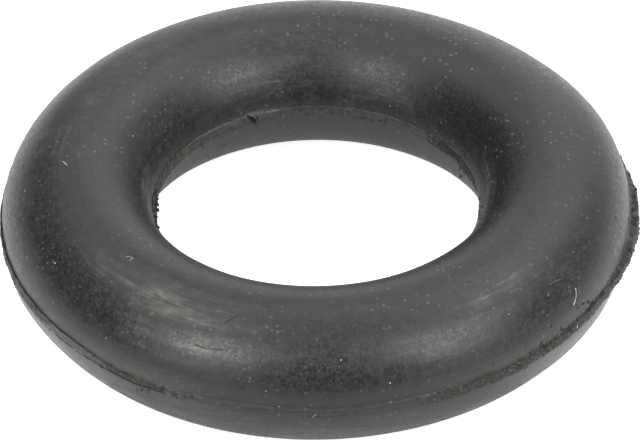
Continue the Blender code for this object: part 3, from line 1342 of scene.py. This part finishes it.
@dataclass
class Lint:
    """Dust, fibres and crumbs of torn rubber on the skin of the ring.

    Sections and azimuths are degrees, and lifts are shares of a width. A range is its two ends, and
    that of the crumbs' azimuths has the likeliest one last.
    """

    ring: bpy.types.Object
    camera: PhotoCamera
    crown_radius: float
    ceiling: float
    seed: int = 2207
    speck_count: int = 1100
    curl_count: int = 9
    crumb_count: int = 60
    reach: float = 10.0 * MM
    grain_breadths: tuple[float, float] = (0.5, 1.0)
    grain_heights: tuple[float, float] = (0.35, 0.6)
    knob_lift: float = 0.3
    fibre_lift: float = 0.4
    drift_pitch: float = 7.0 * MM
    drift_edge: tuple[float, float] = (-0.7, 0.3)
    speck_sections: tuple[float, float] = (-65.0, 200.0)
    least_speck_mm: float = 0.04
    speck_growth_mm: float = 0.03
    greatest_speck_mm: float = 0.14
    crumb_azimuths: tuple[float, float, float] = (-62.0, -14.0, -40.0)
    crumb_section: float = 4.5
    crumb_climb: float = 1.6
    crumb_widths_mm: tuple[float, float] = (0.10, 0.28)
    curl_sections: tuple[float, float] = (-50.0, 75.0)
    curl_steps: tuple[int, int] = (3, 5)
    curl_step: float = 0.25 * MM
    curl_turn: float = 0.9
    curl_widths_mm: tuple[float, float] = (0.025, 0.045)
    grains: tuple[Grain, ...] = (
        Grain("far_left_speck", 25.0, 191.0, 0.20 * MM),
        Grain("left_shoulder_speck", 50.0, 147.0, 0.18 * MM),
        Grain("left_crown_speck", 96.0, 197.0, 0.18 * MM),
        Grain("left_low_speck", 55.0, 263.0, 0.22 * MM),
        Grain("left_low_neighbour", 47.0, 257.0, 0.14 * MM),
        Grain("rear_left_speck", 157.0, 95.0, 0.20 * MM),
        Grain("rear_left_neighbour", 173.0, 100.0, 0.13 * MM),
        Grain("rear_edge_speck", 190.0, 37.0, 0.15 * MM),
        Grain("bore_rim_left_speck", 211.0, 122.0, 0.20 * MM),
        Grain("bore_shoulder_left_speck", 133.0, 136.0, 0.15 * MM),
        Grain("rear_middle_speck", 387.0, 34.0, 0.15 * MM),
        Grain("rear_right_speck", 472.0, 69.0, 0.16 * MM),
        Grain("bore_rim_rear_speck", 390.0, 106.0, 0.20 * MM),
        Grain("right_shoulder_speck", 533.0, 82.0, 0.18 * MM),
        Grain("bore_shoulder_right_speck", 508.0, 121.0, 0.16 * MM),
        Grain("bore_right_upper_speck", 492.0, 170.0, 0.16 * MM),
        Grain("bore_right_lower_speck", 492.0, 182.0, 0.16 * MM),
        Grain("right_crown_speck", 531.0, 175.0, 0.14 * MM),
        Grain("right_rim_speck", 574.0, 170.0, 0.20 * MM),
        Grain("far_right_speck", 599.0, 211.0, 0.18 * MM),
        Grain("front_left_speck", 153.0, 313.0, 0.20 * MM),
        Grain("front_left_low_speck", 106.0, 338.0, 0.24 * MM),
        Grain("front_middle_speck", 266.0, 391.0, 0.22 * MM),
        Grain("front_crown_speck", 341.0, 360.0, 0.22 * MM),
        Grain("front_right_speck", 390.0, 383.0, 0.18 * MM),
        Grain("front_right_high_speck", 509.0, 314.0, 0.20 * MM),
        Grain("lip_speck_left", 279.0, 406.5, 0.16 * MM),
        Grain("lip_speck_middle", 297.5, 406.5, 0.16 * MM),
        Grain("lower_half_dash", 253.0, 425.5, 0.24 * MM),
        Grain("lower_half_speck", 301.0, 422.0, 0.22 * MM),
    )
    pits: tuple[Grain, ...] = (
        Grain("front_pit", 457.0, 318.0, 0.32 * MM),
        Grain("front_pit_neighbour", 440.0, 324.0, 0.20 * MM),
        Grain("right_end_pit", 616.0, 218.0, 0.34 * MM),
        Grain("right_end_pit_neighbour", 621.0, 228.0, 0.22 * MM),
        Grain("right_front_clump", 588.5, 302.0, 0.42 * MM),
        Grain("front_left_pit", 172.0, 260.0, 0.22 * MM),
        Grain("bore_nub_left", 208.0, 155.5, 0.30 * MM),
        Grain("bore_nub_middle", 224.5, 145.0, 0.26 * MM),
        Grain("bore_nub_right", 407.0, 150.0, 0.22 * MM),
        Grain("right_band_clump", 546.0, 348.5, 0.50 * MM),
        Grain("right_band_clump_neighbour", 541.0, 344.0, 0.34 * MM),
    )
    knobs: tuple[Grain, ...] = (
        Grain("bore_left_high", 156.5, 199.0, 0.46 * MM),
        Grain("bore_left_second", 156.5, 205.0, 0.52 * MM),
        Grain("bore_left_third", 156.5, 210.5, 0.58 * MM),
        Grain("bore_left_low", 156.5, 217.0, 0.34 * MM),
        Grain("bore_left_last", 157.5, 228.0, 0.46 * MM),
        Grain("bore_right_high", 480.0, 199.0, 0.36 * MM),
        Grain("bore_right_second", 480.0, 206.0, 0.30 * MM),
        Grain("bore_right_low", 480.0, 215.0, 0.44 * MM),
        Grain("bore_right_last", 481.0, 219.0, 0.30 * MM),
        Grain("right_end_first", 635.5, 190.0, 0.40 * MM),
        Grain("right_end_second", 637.0, 203.0, 0.42 * MM),
    )
    drifts: tuple[Drift, ...] = (
        Drift("left_shoulder", 60.0, 245.0, 30.0, 24.0, 40, 0.12 * MM),
        Drift("left_row", 50.0, 254.0, 12.0, 4.0, 8, 0.15 * MM),
        Drift("left_low", 104.0, 292.0, 12.0, 3.0, 6, 0.15 * MM),
        Drift("front_left", 172.0, 374.0, 14.0, 8.0, 14, 0.16 * MM),
        Drift("front_low", 305.0, 372.0, 34.0, 14.0, 90, 0.14 * MM),
        Drift("front_land", 288.0, 410.0, 34.0, 6.0, 30, 0.13 * MM),
        Drift("front_right", 400.0, 378.0, 30.0, 10.0, 24, 0.13 * MM),
        Drift("front_middle", 338.0, 299.0, 22.0, 4.0, 18, 0.13 * MM),
        Drift("front_right_high", 500.0, 315.0, 24.0, 16.0, 20, 0.12 * MM),
        Drift("bore_rim_left", 190.0, 112.0, 24.0, 12.0, 50, 0.12 * MM),
        Drift("bore_end_right", 486.0, 216.0, 4.0, 4.0, 22, 0.14 * MM),
        Drift("bore_wall_right", 464.0, 174.0, 6.0, 7.0, 18, 0.14 * MM),
        Drift("right_rear", 478.0, 82.0, 34.0, 18.0, 40, 0.12 * MM),
        Drift("bore_shoulder_right", 468.0, 120.0, 26.0, 16.0, 30, 0.11 * MM),
        Drift("right_crown", 560.0, 205.0, 34.0, 34.0, 46, 0.11 * MM),
        Drift("rear_left", 172.0, 68.0, 44.0, 18.0, 50, 0.11 * MM),
    )
    clumps: tuple[Drift, ...] = (
        Drift("bore_left_end", 155.5, 206.0, 1.2, 10.0, 46, 0.36 * MM),
        Drift("bore_right_end", 479.5, 206.0, 1.2, 8.0, 24, 0.30 * MM),
        Drift("bore_right_band", 461.0, 166.0, 4.0, 8.0, 44, 0.26 * MM),
        Drift("bore_right_rear_band", 444.0, 144.0, 7.0, 5.0, 18, 0.20 * MM),
        Drift("bore_left_low_dashes", 171.0, 163.0, 4.0, 5.0, 16, 0.24 * MM),
        Drift("bore_left_middle_dashes", 197.0, 145.5, 8.0, 3.5, 16, 0.20 * MM),
        Drift("bore_left_high_dashes", 222.0, 131.0, 9.0, 3.0, 14, 0.18 * MM),
        Drift("bore_rear_dashes", 290.0, 112.0, 22.0, 2.5, 16, 0.15 * MM),
        Drift("right_end_knobs", 635.0, 196.0, 1.5, 14.0, 30, 0.34 * MM),
        Drift("right_end_low_knobs", 632.0, 236.0, 2.0, 14.0, 20, 0.30 * MM),
        Drift("band_start", 512.0, 368.0, 9.0, 2.0, 16, 0.26 * MM),
        Drift("band_left", 545.0, 345.0, 7.0, 3.0, 18, 0.30 * MM),
        Drift("band_middle", 563.0, 331.0, 7.0, 3.0, 18, 0.28 * MM),
        Drift("band_right", 588.0, 306.0, 6.0, 4.0, 18, 0.28 * MM),
        Drift("band_end", 612.0, 283.0, 3.0, 3.0, 10, 0.26 * MM),
        Drift("left_upper_dashes", 93.0, 354.5, 2.0, 0.8, 4, 0.18 * MM),
        Drift("front_left_upper_dashes", 110.0, 366.0, 5.0, 0.9, 10, 0.22 * MM),
        Drift("front_left_lower_dashes", 122.0, 379.0, 4.0, 0.9, 6, 0.18 * MM),
        Drift("front_left_last_dashes", 149.0, 390.0, 7.0, 1.3, 18, 0.22 * MM),
    )
    fibres: tuple[Fibre, ...] = (
        Fibre(
            "right_curved_fibre",
            ((575.0, 288.0), (576.5, 293.0), (576.0, 299.0), (573.0, 305.0)),
            0.11 * MM,
        ),
        Fibre("left_dash", ((63.0, 162.0), (65.0, 163.5), (67.5, 166.0)), 0.10 * MM),
        Fibre(
            "right_squiggle",
            ((456.0, 252.0), (450.0, 259.0), (452.0, 266.0), (448.0, 273.0), (450.0, 281.0)),
            faint=True,
        ),
        Fibre("right_loop", ((466.0, 282.0), (471.0, 281.0), (475.0, 284.0), (470.0, 285.0)), faint=True),
        Fibre("front_right_upright", ((477.0, 352.0), (476.5, 359.0)), faint=True),
        Fibre("front_left_upright", ((133.0, 322.0), (133.5, 328.0)), faint=True),
        Fibre("band_fibre", ((577.5, 322.0), (577.0, 328.0)), 0.09 * MM),
        Fibre("right_low_fibre", ((526.0, 342.0), (527.0, 348.0), (525.0, 351.0)), faint=True),
        Fibre("right_smear_fibre", ((549.0, 285.0), (555.0, 281.0), (561.0, 279.0)), 0.07 * MM, faint=True),
        Fibre("tangle_start", ((126.0, 257.0), (131.0, 256.0), (135.0, 259.0)), 0.05 * MM),
        Fibre("tangle_cross", ((130.0, 261.0), (133.0, 256.0), (137.0, 257.0)), 0.06 * MM),
        Fibre("tangle_end", ((134.0, 255.0), (136.0, 259.0), (133.0, 261.0)), 0.05 * MM, faint=True),
        Fibre("lower_half_stroke", ((312.0, 417.5), (316.0, 414.5)), 0.08 * MM),
        Fibre("rear_upright", ((316.0, 84.0), (316.5, 90.0)), 0.04 * MM, faint=True),
    )

    def build(self) -> list[bpy.types.Object]:
        """Builds all the lint.

        Returns:
            The pieces, riding on the ring's body.
        """
        draw = random.Random(self.seed)
        pieces = [self.dust(draw), self.fine_dust(draw), self.crumbs(draw), *self.threads(draw)]
        for piece in pieces:
            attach(piece, BODY)
        return pieces

    def spot_of(self, grain: Grain) -> Spot:
        """Where on the ring a grain of the photograph lies."""
        return self.camera.spot_on(self.ring, grain.name, grain.across, grain.down)

    def cast(self, azimuth: float, section: float) -> Spot:
        """The skin at an azimuth and section angle.

        Args:
            azimuth: Radians round +Z.
            section: Radians round the crown line.

        Returns:
            The place and the surface's normal there.
        """
        out = Vector((math.cos(azimuth), math.sin(azimuth), 0.0))
        outward = out * math.cos(section) + Vector((0.0, 0.0, math.sin(section)))
        _, place, normal, _ = self.ring.ray_cast(out * self.crown_radius + outward * self.reach, -outward)
        return place, normal

    def add_grain(
        self, cloud: bmesh.types.BMesh, spot: Spot, width: float, draw: random.Random
    ) -> None:
        """Adds an uneven grain, sunk a little into the skin.

        Args:
            cloud: The mesh that takes it.
            spot: Its place and the surface's normal there.
            width: Its width, in metres.
            draw: The source of its unevenness.
        """
        place, normal = spot
        sizes = Vector((1.0, draw.uniform(*self.grain_breadths), draw.uniform(*self.grain_heights))) * width
        turn = normal.to_track_quat("Z", "Y").to_matrix().to_4x4()
        spin = Matrix.Rotation(draw.uniform(0.0, math.tau), 4, "Z")
        if place.z + sizes.z / 2 > self.ceiling:
            return
        matrix = Matrix.Translation(place) @ turn @ spin @ Matrix.Diagonal(sizes.to_4d())
        bmesh.ops.create_icosphere(cloud, subdivisions=1, radius=0.5, matrix=matrix)

    def finished(
        self, cloud: bmesh.types.BMesh, name: str, material: bpy.types.Material
    ) -> bpy.types.Object:
        """Makes an object of loose grains.

        Args:
            cloud: The grains' mesh, which this uses up.
            name: The object's name.
            material: Its material.

        Returns:
            The object.
        """
        mesh = bpy.data.meshes.new(name)
        cloud.to_mesh(mesh)
        cloud.free()
        return self.placed(mesh, name, material)

    def placed(self, mesh: bpy.types.Mesh, name: str, material: bpy.types.Material) -> bpy.types.Object:
        """Makes an object of a mesh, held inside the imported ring's box.

        Args:
            mesh: The mesh.
            name: The object's name.
            material: Its material.

        Returns:
            The object.
        """
        for vertex in mesh.vertices:
            vertex.co = [min(max(at, low), high) for at, low, high in zip(vertex.co, *CAD_BOX)]
        mesh.materials.append(material)
        piece = bpy.data.objects.new(name, mesh)
        bpy.context.scene.collection.objects.link(piece)
        return piece

    def scatter(self, cloud: bmesh.types.BMesh, groups: tuple[Drift, ...], draw: random.Random) -> None:
        """Adds the grains of several drifts where the camera sees the ring.

        Args:
            cloud: The mesh that takes them.
            groups: The drifts.
            draw: The source of where the grains lie.
        """
        for group in groups:
            for grain in group.grains(draw):
                spot = self.camera.look(self.ring, grain.across, grain.down)
                if spot is not None:
                    self.add_grain(cloud, spot, grain.width, draw)

    def dust(self, draw: random.Random) -> bpy.types.Object:
        """Pale grains that the photograph shows.

        Args:
            draw: The source of the grains' unevenness.

        Returns:
            The piece.
        """
        cloud = bmesh.new()
        for grain in self.grains:
            self.add_grain(cloud, self.spot_of(grain), grain.width, draw)
        return self.finished(cloud, "lint_grains", LintFinish().build())

    def fine_dust(self, draw: random.Random) -> bpy.types.Object:
        """Finer and greyer dust, in the drifts that the photograph shows and thinly all round.

        Args:
            draw: The source of its places, widths and unevenness.

        Returns:
            The piece.
        """
        cloud = bmesh.new()
        self.scatter(cloud, self.drifts, draw)
        for _ in range(self.speck_count):
            azimuth = draw.uniform(0.0, math.tau)
            spot = self.cast(azimuth, math.radians(draw.uniform(*self.speck_sections)))
            drift = noise.noise(spot[0] / self.drift_pitch)
            width = self.least_speck_mm + self.speck_growth_mm * draw.expovariate(1.0)
            width = min(width, self.greatest_speck_mm) * MM
            if drift > draw.uniform(*self.drift_edge):
                self.add_grain(cloud, spot, width, draw)
        return self.finished(cloud, "fine_dust", FAINT_LINT.build())

    def crumbs(self, draw: random.Random) -> bpy.types.Object:
        """Dark crumbs: pits and clumps that the photograph shows, and crumbs along the torn flash.

        Args:
            draw: The source of its places, widths and unevenness.

        Returns:
            The piece.
        """
        cloud = bmesh.new()
        for pit in self.pits:
            self.add_grain(cloud, self.spot_of(pit), pit.width, draw)
        for knob in self.knobs:
            place, normal = self.spot_of(knob)
            self.add_grain(cloud, (place + normal * knob.width * self.knob_lift, normal), knob.width, draw)
        self.scatter(cloud, self.clumps, draw)
        for _ in range(self.crumb_count):
            azimuth = math.radians(draw.triangular(*self.crumb_azimuths))
            climb = abs(draw.gauss(0.0, self.crumb_climb))
            spot = self.cast(azimuth, math.radians(self.crumb_section + climb))
            self.add_grain(cloud, spot, draw.uniform(*self.crumb_widths_mm) * MM, draw)
        return self.finished(cloud, "torn_crumbs", CrumbFinish().build())

    def threads(self, draw: random.Random) -> list[bpy.types.Object]:
        """Fibres: those that the photograph shows, and short faint curls all round.

        Args:
            draw: The source of the curls' ways and widths.

        Returns:
            The clear fibres and the faint ones.
        """
        clear, faint = [], []
        for fibre in self.fibres:
            spots = [self.camera.spot_on(self.ring, fibre.name, *pixel) for pixel in fibre.pixels]
            (faint if fibre.faint else clear).append((spots, fibre.width))
        for _ in range(self.curl_count):
            faint.append((self.curl(draw), draw.uniform(*self.curl_widths_mm) * MM))
        return [
            self.spun(clear, "lint_fibres", FIBRE_LINT),
            self.spun(faint, "faint_fibres", FAINT_LINT),
        ]

    def spun(
        self, paths: list[tuple[list[Spot], float]], name: str, finish: LintFinish
    ) -> bpy.types.Object:
        """Makes one object of several fibres.

        Args:
            paths: For each fibre, its places with their normals, and its width.
            name: The object's name.
            finish: The fibres' finish.

        Returns:
            The object.
        """
        curve = bpy.data.curves.new(name, "CURVE")
        curve.dimensions = "3D"
        curve.bevel_depth = 0.5 * MM  # for a point radius of 1, which stands for a width of 1 mm
        curve.bevel_resolution = 1
        curve.use_fill_caps = True
        for spots, width in paths:
            spline = curve.splines.new("NURBS")
            spline.points.add(len(spots) - 1)
            spline.order_u = min(4, len(spots))
            spline.use_endpoint_u = True
            spline.resolution_u = 5
            for point, (place, normal) in zip(spline.points, spots):
                point.co = (place + normal * width * self.fibre_lift).to_4d()
                point.radius = width / MM
        source = bpy.data.objects.new(name + "_curve", curve)
        mesh = bpy.data.meshes.new_from_object(source)
        bpy.data.objects.remove(source)
        return self.placed(mesh, name, finish.build())

    def curl(self, draw: random.Random) -> list[Spot]:
        """A short fibre that wanders over the skin from a random place.

        Args:
            draw: The source of its way.

        Returns:
            The places along it with their normals.
        """
        azimuth, section = draw.uniform(0.0, math.tau), math.radians(draw.uniform(*self.curl_sections))
        heading = draw.uniform(0.0, math.tau)
        spots = []
        for _ in range(draw.randint(*self.curl_steps)):
            spots.append(self.cast(azimuth, section))
            heading += draw.uniform(-self.curl_turn, self.curl_turn)
            azimuth += self.curl_step / self.crown_radius * math.cos(heading)
            section += self.curl_step / self.ceiling * math.sin(heading)
        return spots


@dataclass(frozen=True)
class Softbox:
    """A round soft lamp, by where it hangs as seen from the ring."""

    name: str
    azimuth: float
    elevation: float
    spread: float
    radiance: float
    distance: float = 0.9

    def build(self) -> bpy.types.Object:
        """Adds the lamp.

        Returns:
            The lamp, turned towards the ring.
        """
        turn, lift = math.radians(self.azimuth), math.radians(self.elevation)
        facing = Vector((math.cos(lift) * math.cos(turn), math.cos(lift) * math.sin(turn), math.sin(lift)))
        radius = self.distance * math.tan(math.radians(self.spread / 2))
        light = bpy.data.lights.new(self.name, "AREA")
        light.shape = "DISK"
        light.size = 2 * radius
        light.energy = self.radiance * math.pi * math.pi * radius * radius
        lamp = bpy.data.objects.new(self.name, light)
        bpy.context.scene.collection.objects.link(lamp)
        lamp.location = facing * self.distance
        lamp.rotation_euler = facing.to_track_quat("Z", "Y").to_euler()
        return lamp


@dataclass(frozen=True)
class Studio:
    """A white floor, a pale room and soft lamps.

    The ring mirrors a floor that is brighter behind it, from back_from to back_to along Y turned
    by skew, and beside it, from side_from to side_to either way along X.
    """

    floor_height: float
    floor_size: float = 6.0
    floor_tone: Colour = (0.80, 0.80, 0.80, 1.0)
    floor_dull: float = 0.9
    floor_specular: float = 0.1
    floor_glow: float = 0.90
    front_glow: float = 0.21
    back_glow: float = 0.9
    back_from: float = -0.02
    back_to: float = 0.12
    skew: float = 0.4
    side_from: float = 0.017
    side_to: float = 0.031
    side_fades_from: float = 0.038
    side_fades_to: float = 0.075
    far_share: float = 0.22
    room_level: float = 0.056
    softboxes: tuple[Softbox, ...] = (
        Softbox("front_left_softbox", 226.0, 48.0, 26.0, 5.8),
        Softbox("front_left_low_softbox", 228.0, 24.0, 30.0, 2.1),
        Softbox("front_right_softbox", 320.0, 48.0, 25.0, 4.5),
        Softbox("right_low_softbox", 322.0, 26.0, 32.0, 2.2),
        Softbox("right_high_softbox", 350.0, 56.0, 44.0, 1.45),
        Softbox("back_right_softbox", 52.0, 54.0, 38.0, 1.7),
        Softbox("back_left_softbox", 126.0, 58.0, 36.0, 1.4),
        Softbox("back_middle_softbox", 78.0, 34.0, 60.0, 0.42),
        Softbox("overhead_softbox", 190.0, 70.0, 40.0, 1.15),
        Softbox("back_low_softbox", 84.0, 13.0, 34.0, 1.1),
        Softbox("right_side_softbox", 44.0, 11.0, 46.0, 0.50),
        Softbox("back_left_low_softbox", 108.0, 15.0, 20.0, 0.35),
    )

    def build(self) -> None:
        """Adds the floor, the room's light and the lamps."""
        self.build_floor()
        self.build_room()
        for softbox in self.softboxes:
            softbox.build()
        bpy.context.scene.view_settings.view_transform = "Standard"

    def build_floor(self) -> None:
        """Adds the floor, white to the camera and to the ring, with the ring's shadow kept."""
        bpy.ops.mesh.primitive_plane_add(size=self.floor_size, location=(0.0, 0.0, self.floor_height))
        floor = bpy.context.object
        floor.name = "studio_floor"
        sheet = NodeSheet("white_floor")
        sheet.shader.inputs["Base Color"].default_value = self.floor_tone
        sheet.shader.inputs["Roughness"].default_value = self.floor_dull
        sheet.shader.inputs["Specular IOR Level"].default_value = self.floor_specular
        path = sheet.put("LightPath")
        seen = sheet.product(path.outputs["Is Camera Ray"], self.floor_glow)
        x, y, _ = sheet.put("SeparateXYZ", {0: sheet.place}).outputs
        skewed = sheet.calculate("ADD", y, sheet.product(x, self.skew))
        behind = sheet.stretch_range(skewed, self.back_from, self.back_to)
        sideways = sheet.calculate("ABSOLUTE", x)
        risen = sheet.stretch_range(sideways, self.side_from, self.side_to)
        faded = sheet.stretch_range(sideways, self.side_fades_from, self.side_fades_to, 1.0, self.far_share)
        beside = sheet.product(risen, faded)
        level = sheet.stretch_range(
            sheet.calculate("MAXIMUM", behind, beside), 0.0, 1.0, self.front_glow, self.back_glow
        )
        mirrored = sheet.product(path.outputs["Is Glossy Ray"], level)
        sheet.shader.inputs["Emission Color"].default_value = (1.0, 1.0, 1.0, 1.0)
        sheet.feed(sheet.shader.inputs["Emission Strength"], sheet.calculate("ADD", seen, mirrored))
        floor.data.materials.append(sheet.material)

    def build_room(self) -> None:
        """Lights the room evenly, and shows it white to the camera."""
        world = bpy.data.worlds.new("pale_room")
        bpy.context.scene.world = world
        world.use_nodes = True
        tree = world.node_tree
        background = tree.nodes["Background"]
        background.inputs["Color"].default_value = (1.0, 1.0, 1.0, 1.0)
        path = tree.nodes.new("ShaderNodeLightPath")
        level = tree.nodes.new("ShaderNodeMapRange")
        level.inputs["To Min"].default_value = self.room_level
        level.inputs["To Max"].default_value = 1.0
        tree.links.new(path.outputs["Is Camera Ray"], level.inputs["Value"])
        tree.links.new(level.outputs["Result"], background.inputs["Strength"])


def main() -> None:
    """Builds the camera, the ring, its lint and the studio, in that order."""
    logging.basicConfig(level=logging.INFO, format="%(message)s")
    camera = PhotoCamera()
    camera.build()
    ring_maker = MouldedRing()
    ring = ring_maker.build(camera)
    LOG.info("%s: %d faces", ring.name, len(ring.data.polygons))
    lint = Lint(ring, camera, ring_maker.crown_radius, ceiling=ring_maker.thickness / 2)
    for piece in lint.build():
        LOG.info("%s: %d faces", piece.name, len(piece.data.polygons))
    studio = Studio(floor_height=-ring_maker.thickness / 2)
    studio.build()
    LOG.info("studio: %d lamps", len(studio.softboxes))


if __name__ == "__main__":
    main()
